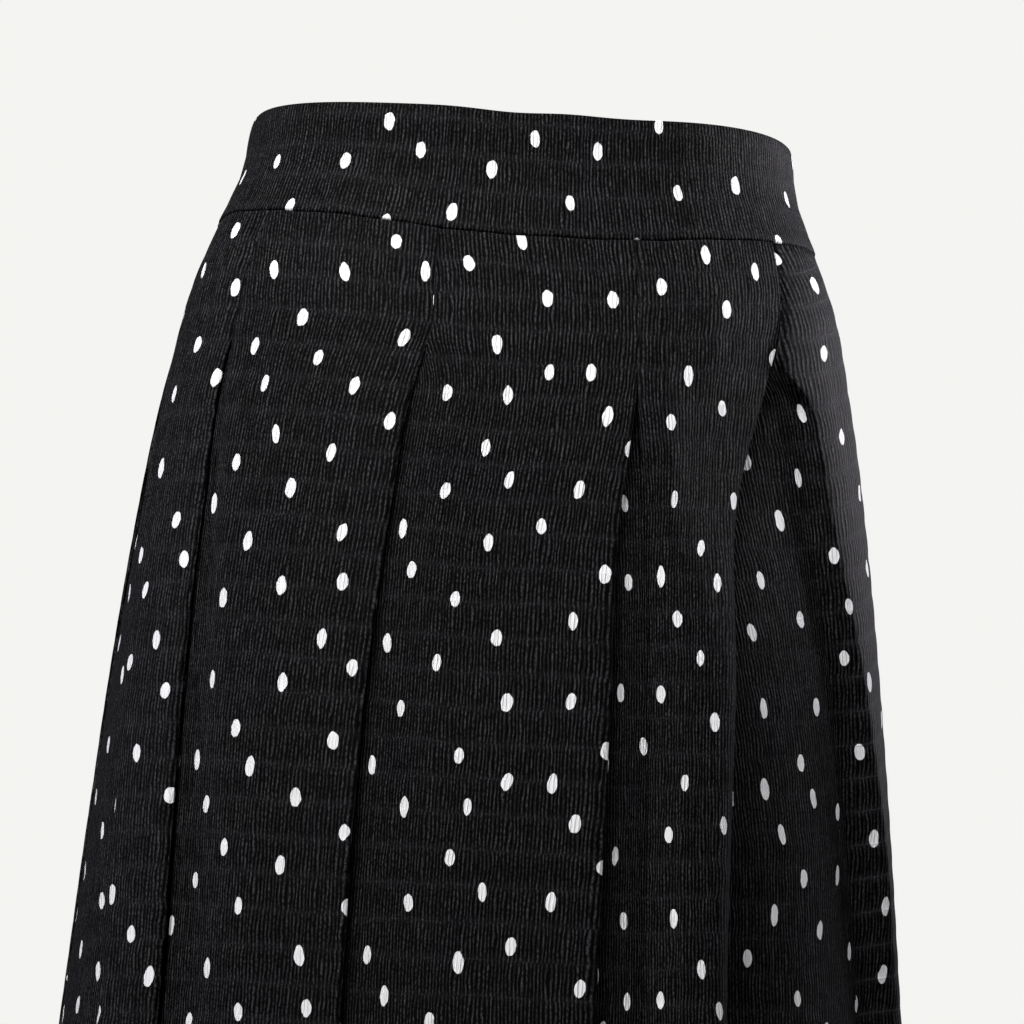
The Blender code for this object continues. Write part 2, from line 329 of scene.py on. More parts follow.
# two numbers are a scale, across and down the flat cloth, and a third says how strong it is
# four are a spread: what is read, from and to, and what is given for it
ribs = {
    "rowDrift": (24, 8, 0.16),
    "slowWander": (38, 10, 1.1),
    "quickWander": (300, 105, 0.62),
    "bow": (130, 7.31, 1.1),  # these three and the patches go by the number of the pucker row or rib
    "shift": (45, 5.17, 0.9),
    "uneven": (0.73, 70),
    "unevenSpread": (-0.2, 0.2, 0.40, 1.0),
    "slope": (0.04, 0.37, 1.0, 0.0),  # from a rib's crest to its foot, in ribs
    "softPucker": (0.0, 0.22, 1.0, 0.0),  # in pucker rows from the line
    "softShare": 0.4,
    "thinPucker": (0.015, 0.055, 1.0, 0.0),
    "patches": (90, 3.7),
    "patchSpread": (-0.10, 0.18, 0.0, 1.0),
    "patchStretched": 0.8,
    "pull": (0.0, 1.0, 0.50, 0.95),  # how high the puckers stand, plain and stretched
    "grain": (950, 700),
    "grainSpread": (-0.2, 0.2, 0.0, 1.0),
    "cloud": (42, 30, 2.0),  # here the third number is the noise's detail
    "cloudSpread": (-0.18, 0.2, 0.0, 1.0),
}


def makeCrinkleRibs():
    tree, given, result = newGroup(
        "crinkleRibs",
        [("Cloth", "NodeSocketVector"), ("Pitch", "NodeSocketFloat"), ("Row height", "NodeSocketFloat"),
         ("Wander", "NodeSocketFloat"), ("Stretched", "NodeSocketFloat")],
        [("Height", "NodeSocketFloat"), ("Ridge", "NodeSocketFloat"), ("Pucker", "NodeSocketFloat"),
         ("Grain", "NodeSocketFloat"), ("Cloud", "NodeSocketFloat")],
    )
    apart = addNode(tree, "ShaderNodeSeparateXYZ", {0: given["Cloth"]})
    u, v = apart.outputs["X"], apart.outputs["Y"]
    row = calculate(tree, "DIVIDE", v, given["Row height"])
    row = calculate(tree, "ADD", row, waver(tree, u, v, *ribs["rowDrift"]))
    rowIndex = calculate(tree, "FLOOR", row)
    rowPart = calculate(tree, "FRACT", row)
    slow = waver(tree, u, v, *ribs["slowWander"])
    quick = waver(tree, u, v, *ribs["quickWander"])
    bow = calculate(tree, "SINE", calculate(tree, "MULTIPLY", rowPart, math.pi))
    bowed = calculate(tree, "MULTIPLY", waver(tree, u, rowIndex, *ribs["bow"]), bow)
    bowed = calculate(tree, "ADD", bowed, waver(tree, u, rowIndex, *ribs["shift"]))
    wander = calculate(tree, "ADD", calculate(tree, "ADD", slow, quick), bowed)
    phase = calculate(tree, "DIVIDE", u, given["Pitch"])
    phase = calculate(tree, "ADD", phase, calculate(tree, "MULTIPLY", wander, given["Wander"]))
    ribIndex = calculate(tree, "ROUND", phase)
    aside = calculate(tree, "ABSOLUTE", calculate(tree, "SUBTRACT", phase, ribIndex))
    ridge = spread(tree, aside, *ribs["slope"])
    uneven = spread(tree, mottle(tree, ribIndex, v, *ribs["uneven"]), *ribs["unevenSpread"])
    ridge = calculate(tree, "MULTIPLY", ridge, uneven)
    toLine = calculate(tree, "MINIMUM", rowPart, calculate(tree, "SUBTRACT", 1.0, rowPart))
    soft = calculate(tree, "MULTIPLY", spread(tree, toLine, *ribs["softPucker"]), ribs["softShare"])
    thin = spread(tree, toLine, *ribs["thinPucker"])
    patches = spread(tree, mottle(tree, u, rowIndex, *ribs["patches"]), *ribs["patchSpread"])
    everywhere = calculate(tree, "MULTIPLY", given["Stretched"], ribs["patchStretched"])
    patches = calculate(tree, "MAXIMUM", patches, everywhere)
    # the pucker lines: raised in the relief, and also the mask of their painted highlight
    pucker = calculate(tree, "MAXIMUM", soft, calculate(tree, "MULTIPLY", thin, patches))
    pull = spread(tree, given["Stretched"], *ribs["pull"])
    height = calculate(tree, "MAXIMUM", ridge, calculate(tree, "MULTIPLY", pucker, pull))
    grain = spread(tree, mottle(tree, u, v, *ribs["grain"]), *ribs["grainSpread"])
    cloud = spread(tree, mottle(tree, u, v, *ribs["cloud"]), *ribs["cloudSpread"])
    tree.links.new(height, result["Height"])
    tree.links.new(ridge, result["Ridge"])
    tree.links.new(pucker, result["Pucker"])
    tree.links.new(grain, result["Grain"])
    tree.links.new(cloud, result["Cloud"])
    return tree


def makeOvalDots():
    tree, given, result = newGroup(
        "ovalDots",
        [("Dot", "NodeSocketVector"), ("Cloth", "NodeSocketVector"), ("Ragged", "NodeSocketFloat")],
        [("Mask", "NodeSocketFloat")],
    )
    away = addNode(tree, "ShaderNodeVectorMath", {0: given["Dot"]}, operation="LENGTH").outputs["Value"]
    flat = addNode(tree, "ShaderNodeSeparateXYZ", {0: given["Cloth"]})
    rough = waver(tree, flat.outputs["X"], flat.outputs["Y"], *dots["edgeScale"], given["Ragged"])
    mask = spread(tree, calculate(tree, "ADD", away, rough), *dots["edge"], 1.0, 0.0)
    tree.links.new(mask, result["Mask"])
    return tree


ribGroup = makeCrinkleRibs()
dotGroup = makeOvalDots()

crinkle = {
    "pitch": 0.00178,  # metres from rib to rib
    "rowHeight": 0.0158,  # and from one pucker row to the next
    "wander": 1.0,
    "depth": 0.0005,
    "skirtDrawn": (0.705, 0.720, 0.780, 0.860),  # where across the cloth it begins and ends to be stretched
    "bandDrawn": (0.24, 0.28, 0.30, 0.36),
    # valley, ridge and ridgeCool paint the ribs' light and shade into the cloth's colour: painted shade in
    # the rib valleys, painted highlight on the crests
    "valley": (0.0009, 0.0008, 0.0010, 1.0),
    "ridge": (0.0520, 0.0516, 0.0522, 1.0),
    "ridgeCool": (0.0540, 0.0528, 0.0600, 1.0),
    "ridgeDark": (0.0090, 0.0088, 0.0094, 1.0),
    # painted highlight on the pucker lines, stronger where the cloth is stretched on the skirt's left side
    "puckerHighlight": (0.0340, 0.0330, 0.0380, 1.0),
    "puckerHighlightPlain": 0.20,
    "puckerHighlightStretched": 0.35,
    # painted shade on the white dots in the rib valleys
    "dotValleyShade": (0.80, 0.80, 0.83, 1.0),
    "dotRidge": (0.93, 0.93, 0.95, 1.0),
    "ragged": 0.34,
    "roughness": 0.60,
    "specular": 0.02,
    "sheen": 0.012,
    "sheenRoughness": 0.30,
    "sheenTint": (0.86, 0.84, 1.0, 1.0),
}


def clothMaterial(name, look, drawn):
    material = bpy.data.materials.new(name)
    material.use_nodes = True
    tree = material.node_tree
    shader = tree.nodes["Principled BSDF"]
    cloth = addNode(tree, "ShaderNodeUVMap", uv_map="cloth").outputs["UV"]
    dot = addNode(tree, "ShaderNodeUVMap", uv_map="dot").outputs["UV"]
    relief = addNode(
        tree,
        "ShaderNodeGroup",
        {"Cloth": cloth, "Pitch": look["pitch"], "Row height": look["rowHeight"], "Wander": look["wander"]},
        node_tree=ribGroup,
    )
    across = addNode(tree, "ShaderNodeSeparateXYZ", {0: cloth}).outputs["X"]
    begins = spread(tree, across, *drawn[:2], 0.0, 1.0)
    ends = spread(tree, across, *drawn[2:], 1.0, 0.0)
    stretched = calculate(tree, "MULTIPLY", begins, ends)
    tree.links.new(stretched, relief.inputs["Stretched"])
    spots = addNode(
        tree, "ShaderNodeGroup", {"Cloth": cloth, "Dot": dot, "Ragged": look["ragged"]}, node_tree=dotGroup
    )
    ridge = blendColour(tree, relief.outputs["Cloud"], look["ridge"], look["ridgeCool"])
    ridge = blendColour(tree, relief.outputs["Grain"], look["ridgeDark"], ridge)
    # painted shade in the rib valleys and painted highlight on the crests, following each rib's crest-to-foot
    # shape
    black = blendColour(tree, relief.outputs["Ridge"], look["valley"], ridge)
    # painted highlight on the pucker lines, stronger on the stretched part
    shown = spread(tree, stretched, 0.0, 1.0, look["puckerHighlightPlain"], look["puckerHighlightPlain"] + look["puckerHighlightStretched"])
    puckered = calculate(tree, "MULTIPLY", relief.outputs["Pucker"], shown)
    black = blendColour(tree, puckered, black, look["puckerHighlight"])
    # the dots take painted shade in the rib valleys, by the relief's height
    white = blendColour(tree, relief.outputs["Height"], look["dotValleyShade"], look["dotRidge"])
    colour = blendColour(tree, spots.outputs["Mask"], black, white)
    tree.links.new(colour, shader.inputs["Base Color"])
    bump = addNode(
        tree,
        "ShaderNodeBump",
        {"Strength": 1.0, "Distance": look["depth"], "Height": relief.outputs["Height"]},
    )
    tree.links.new(bump.outputs["Normal"], shader.inputs["Normal"])
    shader.inputs["Roughness"].default_value = look["roughness"]
    shader.inputs["Specular IOR Level"].default_value = look["specular"]
    shader.inputs["Sheen Weight"].default_value = look["sheen"]
    shader.inputs["Sheen Roughness"].default_value = look["sheenRoughness"]
    shader.inputs["Sheen Tint"].default_value = look["sheenTint"]
    return material


crinkleCloth = clothMaterial("crinkleCloth", crinkle, crinkle["skirtDrawn"])
bandCloth = clothMaterial("bandCloth", crinkle, crinkle["bandDrawn"])

thread = {
    "twist": 2600.0,
    "twistSpread": (0.4, 0.62, 0.0, 1.0),
    "dark": (0.004, 0.004, 0.005, 1.0),
    "light": (0.030, 0.030, 0.033, 1.0),
    "relief": 0.6,
    "depth": 0.0001,
    "roughness": 0.48,
    "specular": 0.25,
}


def threadMaterial(name, look):
    material = bpy.data.materials.new(name)
    material.use_nodes = True
    tree = material.node_tree
    shader = tree.nodes["Principled BSDF"]
    place = addNode(tree, "ShaderNodeTexCoord").outputs["Object"]
    noise = addNode(tree, "ShaderNodeTexNoise", {"Vector": place, "Scale": look["twist"], "Detail": 1.0})
    twist = noise.outputs[0]
    colour = blendColour(tree, spread(tree, twist, *look["twistSpread"]), look["dark"], look["light"])
    tree.links.new(colour, shader.inputs["Base Color"])
    bump = addNode(
        tree, "ShaderNodeBump", {"Strength": look["relief"], "Distance": look["depth"], "Height": twist}
    )
    tree.links.new(bump.outputs["Normal"], shader.inputs["Normal"])
    shader.inputs["Roughness"].default_value = look["roughness"]
    shader.inputs["Specular IOR Level"].default_value = look["specular"]
    return material


threadBlack = threadMaterial("threadBlack", thread)
print("materials made")

# skirt panels

skirt = {
    "thickness": 0.0008,
    "hemThickness": 0.0018,
    "hemDepth": 0.025,
    "fall": 0.7265,  # waist seam to hem
    "rowStep": 0.00395,  # four to each pucker row
    "tightFold": 0.00048,
    "looseFold": 0.0018,
    "leastTaken": 0.12,
    "leastHidden": 0.010,
    "foldRoom": 0.004,
    "underlayStep": 0.0016,
    "sinkTakes": 1.2,
    "sinkingPower": 0.50,
    "mostSunk": 1.25,
    "beadPower": 0.7,
    "lipPower": 0.5,
    "loosenedAt": 0.5,
    "droopAt": 0.15,
    "droopOver": 0.065,
    "crowding": 1.15,  # above 1 the columns lie closer together towards the folded edge
    "floorEnd": 0.9,
    "pucker": 0.00028,  # how far the cloth bows out between its pucker rows
    "puckerRows": 4,
    "puckerRound": 0.6,
    "puckerMiddle": 0.7,
    "puckerFrom": 0.02,
    "sidePucker": 0.00022,  # and how much more on the skirt's left, where it is stretched
    "sidePuckerAt": 0.21,
    "sidePuckerOver": 0.09,
    "waveOver": 0.012,
    "creaseTaper": 0.7,
    "slant": 0.28,  # the rows of puckers climb beside the widest pleat
    "slantFrom": 0.132,
    "slantWidth": 0.08,
    "slantEase": 1.5,
    "slantTo": 0.40,
    "slantFade": 0.1,
    "dotStretch": 1.02,
    "heights": (0.0, 0.066, 0.105, 0.185, 0.30, 0.475, 1.0),  # seam, released, below, hip, thigh, knee, hem
    "columns": {"top": 17, "edge": 9, "under": 2, "hidden": 4, "below": 4, "floor": 7, "climb": 10},
}

# edge: where the folded edge lies at those heights, in hundredths of the way round from the centre front
# mouth: how far it stands open above the knee and at the hem
# power: how fast it opens below the stitching, onset: how gently that starts
# ease: how slowly the layer underneath sinks
# sink, valley: how deep the layer underneath lies, and how far across the mouth its deepest line is
# near: how much of that depth it has right by the edge; steep: below 1 the wall rises fast out of its valley
# hollow: above 1 the layer underneath sinks slowly at first; loose: how far its hidden layers stand apart
# bead: how wide and deep the folded edge is rounded
# crease: the sewn line's width, wave: how the edge puckers
# drawn: how far the ribs of the panel before it are drawn apart
# roll: how much of that panel is rolled under
# lip: how far the edge stands out; droop: how far it falls in below the stitching, over the width of reach
# fan: how far the ribs turn aside below the stitching, over what drop and what width
plainPleat = {
    "mouth": (4.2, 4.0), "power": 0.62, "onset": 0.10, "ease": 1.0, "sink": 0.0075, "valley": 0.18,
    "near": 1.0, "steep": 1.0, "hollow": 1.0, "drawn": 1.0, "loose": 1.0,
    "lip": 0.001, "droop": 0.0, "reach": 0.035, "roll": 0.0,
    "fan": (0.012, 0.03, 0.03), "bead": (0.0018, 0.0010), "crease": 0.0005, "wave": 0.3,
}

pleats = [{**plainPleat, **pleat} for pleat in (
    {"name": "sideRight", "edge": (-25.0, -25.1, -25.6, -26.8, -27.6, -28.6, -27.0), "mouth": (10.6, 7.0),
     "ease": 1.4, "sink": 0.0100, "valley": 0.85, "near": 0.05, "steep": 0.9, "hollow": 2.0, "loose": 0.25,
     "lip": 0.003, "fan": (0.006, 0.05, 0.04), "bead": (0.0010, 0.0005), "crease": 0.0006},
    {"name": "front1", "edge": (-16.3, -15.9, -16.3, -16.1, -15.8, -15.0, -15.0), "mouth": (4.0, 4.2),
     "sink": 0.0060, "valley": 0.26, "near": 0.7, "drawn": 1.3, "lip": 0.0, "fan": (0.007, 0.03, 0.03),
     "bead": (0.0016, 0.0009), "crease": 0.0004, "wave": 0.2},
    {"name": "front2", "edge": (-5.6, -5.2, -5.85, -6.4, -6.85, -6.85, -6.2), "mouth": (4.4, 4.4),
     "fan": (0.013, 0.032, 0.035), "wave": 0.2},
    {"name": "front3", "edge": (5.5, 5.2, 4.85, 3.9, 3.5, 3.05, 3.8), "mouth": (3.6, 4.4), "power": 0.25,
     "onset": 0.35, "ease": 1.1, "sink": 0.0125, "valley": 0.70, "near": 0.8, "steep": 0.9,
     "fan": (0.018, 0.11, 0.07), "bead": (0.0060, 0.0025), "crease": 0.0006, "wave": 0.5},
    {"name": "front4", "edge": (14.7, 13.3, 11.9, 9.65, 8.8, 7.95, 10.6), "mouth": (14.4, 7.0),
     "sink": 0.018, "valley": 0.88, "near": 0.8, "steep": 0.9, "lip": 0.005, "droop": 0.008, "reach": 0.045,
     "roll": 0.036, "fan": (0.0, 0.05, 0.05), "bead": (0.0140, 0.0100), "wave": 1.0},
    {"name": "sideLeft", "edge": (25.0, 24.8, 24.8, 24.9, 24.8, 24.6, 24.3), "mouth": (4.6, 4.6), "ease": 1.4,
     "sink": 0.012, "valley": 0.30, "drawn": 1.9, "lip": 0.003, "fan": (0.008, 0.04, 0.04),
     "bead": (0.0040, 0.0020), "crease": 0.0008, "wave": 0.8},
    {"name": "back1", "edge": (34.3, 33.9, 33.7, 33.6, 33.4, 33.4, 34.2), "sink": 0.009, "valley": 0.22,
     "drawn": 1.1, "lip": 0.002, "fan": (0.010, 0.035, 0.035), "bead": (0.0024, 0.0013), "crease": 0.0006,
     "wave": 0.4},
    {"name": "back2", "edge": (44.4, 44.2, 43.9, 43.6, 43.4, 43.3, 44.0), "mouth": (4.2, 4.4)},
    {"name": "back3", "edge": (55.6, 55.3, 54.8, 54.4, 54.0, 53.9, 54.6), "mouth": (3.6, 3.8), "ease": 1.1,
     "sink": 0.013, "valley": 0.70, "near": 0.5, "steep": 0.8, "fan": (0.014, 0.08, 0.06),
     "bead": (0.0070, 0.0026), "crease": 0.0010, "wave": 0.6},
    {"name": "back4", "edge": (65.7, 65.1, 64.4, 63.9, 63.6, 63.6, 64.8), "mouth": (5.4, 4.6), "sink": 0.013,
     "valley": 0.45, "steep": 0.9, "lip": 0.004, "fan": (0.010, 0.04, 0.04), "bead": (0.0060, 0.0026),
     "crease": 0.0008, "wave": 0.8},
)]


def opening(down, power, most, onset=plainPleat["onset"]):
    released = skirt["heights"][1]
    x = max(0.0, (down - released) / (skirt["heights"][5] - released))
    return min(most, x ** power * rise(x / onset))


def edgeAt(pleat, down):
    # straight where it is sewn, and a curve below the stitching
    heights, edge = skirt["heights"], pleat["edge"]
    if down < heights[1]:
        return (edge[0] + (edge[1] - edge[0]) * down / heights[1]) / 100
    return smoothBetween(heights[1:], edge[1:], down) / 100


def rolledOver(pleat, edge):
    if not pleat["roll"]:
        return 0.0
    first, last = pleat["edge"][1] / 100, pleat["edge"][5] / 100
    return min(1.0, max(0.0, (first - edge) / (first - last)))


def pleatPlaces(outline, down):
    around = outline["round"]
    low = rise((down - skirt["heights"][5]) / (1 - skirt["heights"][5]))
    edges = [edgeAt(pleat, down) for pleat in pleats]
    shoulders = []
    for pleat, edge in zip(pleats, edges):
        opened = opening(down, pleat["power"], 1.0, pleat["onset"])
        wide = pleat["mouth"][0] + (pleat["mouth"][1] - pleat["mouth"][0]) * low
        shoulders.append(edge + max(wide / 100 * opened, pleat["crease"] / around))
    unit = form["clothRound"] / len(pleats)
    places = []
    for i, pleat in enumerate(pleats):
        after = (i + 1) % len(pleats)
        sunk = opening(down, skirt["sinkingPower"] * pleat["ease"], skirt["mostSunk"])
        start = shoulders[i - 1]
        start -= round(start - edges[i] + 0.5)
        shown = (edges[after] - edges[i]) % 1.0 * around + skirt["sinkTakes"] * pleat["sink"] * sunk
        cloth = unit + (pleat["roll"] - pleats[after]["roll"]) * opening(down, plainPleat["power"], 1.0)
        room = (edges[i] - start) * around - skirt["foldRoom"]
        hidden = min(max((cloth - shown) / 2, skirt["leastHidden"]), room)
        atEdge = i * unit - pleat["roll"] * rolledOver(pleat, edges[i])
        places.append({"start": start, "edge": edges[i], "hidden": hidden, "shoulder": shoulders[i],
                       "atEdge": atEdge, "sunk": sunk})
    return places


def valleyAt(pleat, place, around):
    return max(skirt["underlayStep"], pleat["valley"] * (place["shoulder"] - place["edge"]) * around)


def pleatProfile(pleat, place, down, around):
    # distances are from the folded edge; each stretch gives how far along and how far out
    sunk = place["sunk"]
    loose = rise(down / skirt["loosenedAt"]) * pleat["loose"]
    small = skirt["tightFold"] + (skirt["looseFold"] - skirt["tightFold"]) * loose
    loosened = opening(down, skirt["beadPower"], 1.0)
    fold = small + max(0.0, pleat["bead"][1] - small) * loosened
    wide = fold + max(0.0, pleat["bead"][0] - fold) * loosened
    lift = pleat["lip"] * opening(down, skirt["lipPower"], 1.0)
    lift -= pleat["droop"] * math.exp(-(((down - skirt["droopAt"]) / skirt["droopOver"]) ** 2))
    hidden = place["hidden"]
    count = skirt["columns"]
    gap = 2 * fold + 2 * small * sunk

    def top(away):
        return lift * rise(1 + away / pleat["reach"])

    back = (place["start"] - place["edge"]) * around
    t = np.arange(count["top"]) / count["top"]
    away = (back + wide - fold) * (1 - t) ** skirt["crowding"] - (wide - fold)
    stretches = [(away, top(away))]
    turn = np.linspace(0.5 * math.pi, -0.5 * math.pi, count["edge"])
    stretches.append((wide * np.cos(turn) - (wide - fold), lift - fold + fold * np.sin(turn)))
    t = np.arange(1, count["under"] + 1) / (count["under"] + 1)
    away = -(wide - fold) - (hidden - wide + fold) * t
    stretches.append((away, top(away) - 2 * fold - (gap - 2 * fold) * t))
    inner = top(-hidden) - gap
    turn = np.linspace(0.5 * math.pi, 1.5 * math.pi, count["hidden"])
    stretches.append((-hidden + small * np.cos(turn), inner - small + small * np.sin(turn)))
    bottom = -pleat["sink"] * sunk
    under = min(bottom * pleat["near"], lift - 2 * fold - 2 * small)
    t = np.arange(1, count["below"] + 1) / (count["below"] + 1)
    away = -hidden * (1 - t)
    stretches.append((away, np.minimum(inner - 2 * small + (under - inner + 2 * small) * rise(t),
                                       top(away) - gap - 2 * small)))
    mouth = (place["shoulder"] - place["edge"]) * around
    step = valleyAt(pleat, place, around)
    deepest = min(bottom, -3 * small)
    t = np.arange(count["floor"]) / (count["floor"] - skirt["floorEnd"])
    stretches.append((step * t, under + (deepest - under) * t ** pleat["hollow"]))
    t = np.arange(count["climb"]) / count["climb"]
    stretches.append((step + (mouth - step) * t, deepest * (1 - rise(t) ** pleat["steep"])))
    return stretches


def rowOfCloth(down):
    outline = outlineAt(skirtOutline, down)
    around = outline["round"]
    places = pleatPlaces(outline, down)
    shares, outs = [], []
    for pleat, place in zip(pleats, places):
        for away, out in pleatProfile(pleat, place, down, around):
            shares.append(place["edge"] + away / around)
            outs.append(out)
    return outline, places, np.concatenate(shares), np.concatenate(outs)


def flatPlaces(outline, places, share, out, down):
    # how far round the flat cloth each point lies: measured along the wall, fixed at every folded edge
    around = outline["round"]
    plan = onOutline(outline, share, out)
    steps = np.hypot(*np.diff(np.vstack([plan, plan[:1]]), axis=0).T)
    count = sum(skirt["columns"].values())
    top = skirt["columns"]["top"]
    edges = [i * count + top for i in range(len(pleats))]
    first = skirt["columns"]["edge"]
    tucked = np.zeros(count - top, bool)
    tucked[first:first + sum(skirt["columns"][key] for key in ("under", "hidden", "below"))] = True
    flat = np.zeros(len(share))
    for i, (pleat, place) in enumerate(zip(pleats, places)):
        after = (i + 1) % len(pleats)
        lapped = form["clothRound"] if after == 0 else 0.0
        index = (edges[i] + np.arange(count + 1)) % len(share)
        run = np.concatenate([[0], np.cumsum(steps[index[:-1]])])
        drawn = 1 / pleats[after]["drawn"]
        toNext = places[after]["atEdge"] + lapped - place["atEdge"]
        inside = count - top  # columns from the edge to the shoulder
        topRun = (run[-1] - run[inside]) * drawn
        laid = np.diff(run[:inside + 1])
        taken = (toNext - topRun - laid[~tucked].sum()) / laid[tucked].sum()
        taken = max(taken, skirt["leastTaken"])
        plain = (toNext - topRun - taken * laid[tucked].sum()) / laid[~tucked].sum()
        value = np.concatenate([[0], np.cumsum(laid * np.where(tucked, taken, plain))])
        value = np.append(value, toNext - (run[-1] - run[inside + 1:]) * drawn)
        reach = ((share[index] - place["edge"]) % 1.0) * around
        reach = np.where(reach > 0.5 * around, 0.0, reach)
        whole = ((places[after]["edge"] - place["edge"]) % 1.0) * around
        drop = max(0.0, down - skirt["heights"][1]) * skirt["fall"]
        amount, over, wide = pleat["fan"]
        turned = amount * rise(drop / over) * np.exp(-reach / wide) * (1 - rise(reach / whole))
        value -= turned * np.clip(run / run[inside] * 2, 0, 1)
        flat[index[:-1]] = place["atEdge"] + value[:-1]
    return flat


def skirtRows():
    fall = skirt["fall"]
    stops = np.arange(0, fall, skirt["rowStep"])
    return np.append(stops[:-1], fall)


def edgeWave(places, share, around):
    wave = np.ones(len(share))
    for pleat, place in zip(pleats, places):
        away = np.abs((share - place["edge"] + 0.5) % 1.0 - 0.5) * around
        wave += (pleat["wave"] - 1) * np.exp(-((away / skirt["waveOver"]) ** 2))
    return wave


# soft creases: from and to are the share of the way down and the hundredths of the way round
# depth below 0 is a trough
creases = (
    {"from": (0.010, -19.6), "to": (0.110, -18.2), "depth": -0.0011, "wide": 0.0050},
    {"from": (0.050, -22.6), "to": (0.230, -21.4), "depth": 0.0012, "wide": 0.0080},
    {"from": (0.075, -13.6), "to": (0.200, -13.0), "depth": -0.0009, "wide": 0.0060},
    {"from": (0.015, -11.0), "to": (0.090, -9.4), "depth": 0.0007, "wide": 0.0055},
    {"from": (0.260, -10.6), "to": (0.560, -10.0), "depth": 0.0012, "wide": 0.0140},
    {"from": (0.110, -2.2), "to": (0.330, -1.4), "depth": -0.0009, "wide": 0.0110},
    {"from": (0.450, 0.4), "to": (0.950, 0.9), "depth": 0.0016, "wide": 0.0180},
    {"from": (0.012, 2.4), "to": (0.070, 3.5), "depth": 0.0007, "wide": 0.0050},
    {"from": (0.080, 7.6), "to": (0.260, 7.1), "depth": -0.0008, "wide": 0.0060},
    {"from": (0.020, 9.9), "to": (0.120, 9.0), "depth": 0.0008, "wide": 0.0060},
    {"from": (0.030, 17.2), "to": (0.170, 19.4), "depth": -0.0010, "wide": 0.0060},
    {"from": (0.052, 5.9), "to": (0.300, 8.2), "depth": 0.0026, "wide": 0.0120},
    {"from": (0.330, 20.2), "to": (0.700, 20.8), "depth": 0.0013, "wide": 0.0120},
    {"from": (0.030, 29.0), "to": (0.180, 28.2), "depth": -0.0012, "wide": 0.0070},
    {"from": (0.240, 30.8), "to": (0.620, 30.0), "depth": 0.0014, "wide": 0.0140},
    {"from": (0.020, 38.4), "to": (0.130, 39.6), "depth": 0.0009, "wide": 0.0060},
    {"from": (0.300, 40.2), "to": (0.800, 39.6), "depth": -0.0014, "wide": 0.0160},
    {"from": (0.060, 48.6), "to": (0.240, 49.2), "depth": -0.0010, "wide": 0.0080},
    {"from": (0.420, 50.4), "to": (0.900, 50.0), "depth": 0.0015, "wide": 0.0170},
    {"from": (0.015, 58.8), "to": (0.100, 59.8), "depth": 0.0008, "wide": 0.0055},
    {"from": (0.280, 60.0), "to": (0.600, 60.6), "depth": -0.0012, "wide": 0.0130},
    {"from": (0.030, 69.4), "to": (0.180, 70.6), "depth": -0.0011, "wide": 0.0070},
    {"from": (0.350, 71.2), "to": (0.750, 70.6), "depth": 0.0013, "wide": 0.0140},
)


def creased(share, down, around):
    out = np.zeros(len(share))
    for crease in creases:
        (fromDown, fromShare), (toDown, toShare) = crease["from"], crease["to"]
        along = (down - fromDown) / (toDown - fromDown)
        if 0 < along < 1:
            centre = (fromShare + (toShare - fromShare) * along) / 100
            away = ((share - centre + 0.5) % 1.0 - 0.5) * around
            high = crease["depth"] * math.sin(math.pi * along) ** skirt["creaseTaper"]
            out += high * np.exp(-((away / crease["wide"]) ** 2))
    return out


def skirtCloth():
    rows = skirtRows()
    points, flats = [], []
    for v in rows:
        down = v / skirt["fall"]
        outline, places, share, out = rowOfCloth(down)
        flat = flatPlaces(outline, places, share, out, down)
        fromPleat = (share - skirt["slantFrom"]) * outline["round"] / skirt["slantWidth"]
        climb = rise(fromPleat / skirt["slantEase"]) * rise((skirt["slantTo"] - share) / skirt["slantFade"])
        slanted = v + skirt["slant"] * skirt["slantWidth"] * climb
        puckered = np.abs(np.sin(math.pi * slanted / (skirt["puckerRows"] * skirt["rowStep"])))
        bowed = (puckered ** skirt["puckerRound"] - skirt["puckerMiddle"]) * rise(down / skirt["puckerFrom"])
        side = np.exp(-(((share - skirt["sidePuckerAt"]) / skirt["sidePuckerOver"]) ** 2))
        amount = skirt["pucker"] + skirt["sidePucker"] * side
        out = out + amount * edgeWave(places, share, outline["round"]) * bowed
        out = out + creased(share, down, outline["round"])
        plan = onOutline(outline, share, out)
        seam = seamLevel(share)
        level = seam + down * (-form["length"] - seam)
        points.append(np.column_stack([plan, level]))
        flats.append(np.column_stack([flat, slanted]))
    return np.array(points), np.array(flats)


def skirtPanel(name, first, last, cloth, flat, node):
    # from the layer underneath one side pleat to the layer underneath the other
    count = sum(skirt["columns"].values())
    seamAt = sum(skirt["columns"][key] for key in ("top", "edge", "under", "hidden")) + 1
    order = [pleat["name"] for pleat in pleats]
    start = order.index(first) * count + seamAt
    length = (order.index(last) - order.index(first)) % len(pleats) * count + 1
    index = (start + np.arange(length)) % cloth.shape[1]
    points = cloth[:, index]
    places = flat[:, index].copy()
    wrapped = places[:, :, 0] < places[:, :1, 0] - form["clothRound"] / 2
    places[:, :, 0] = np.where(wrapped, places[:, :, 0] + form["clothRound"], places[:, :, 0])
    v = skirtRows()
    thin = np.where(v > skirt["fall"] - skirt["hemDepth"], 1.0, skirt["thickness"] / skirt["hemThickness"])
    spots = dotPlaces(places, skirt["dotStretch"])
    piece = clothPiece(name, points, places, spots, crinkleCloth, skirt["hemThickness"], thin)
    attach(piece, "root")
    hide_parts(node)
    return piece


cloth, flat = skirtCloth()
print("cloth laid out:", cloth.shape)
skirtFront = skirtPanel("skirtFront", "sideRight", "sideLeft", cloth, flat, "skirt_front")
skirtBack = skirtPanel("skirtBack", "sideLeft", "sideRight", cloth, flat, "skirt_back")

# the line of stitches that holds the hem

hemLine = {
    "up": 0.022,
    "apart": 0.0037,
    "halfLength": 0.00125,
    "halfWidth": 0.00026,
    "halfHeight": 0.00022,
    "uneven": 0.00018,
    "proud": 0.4,  # in halves of a stitch's height
    "seed": 11,
}


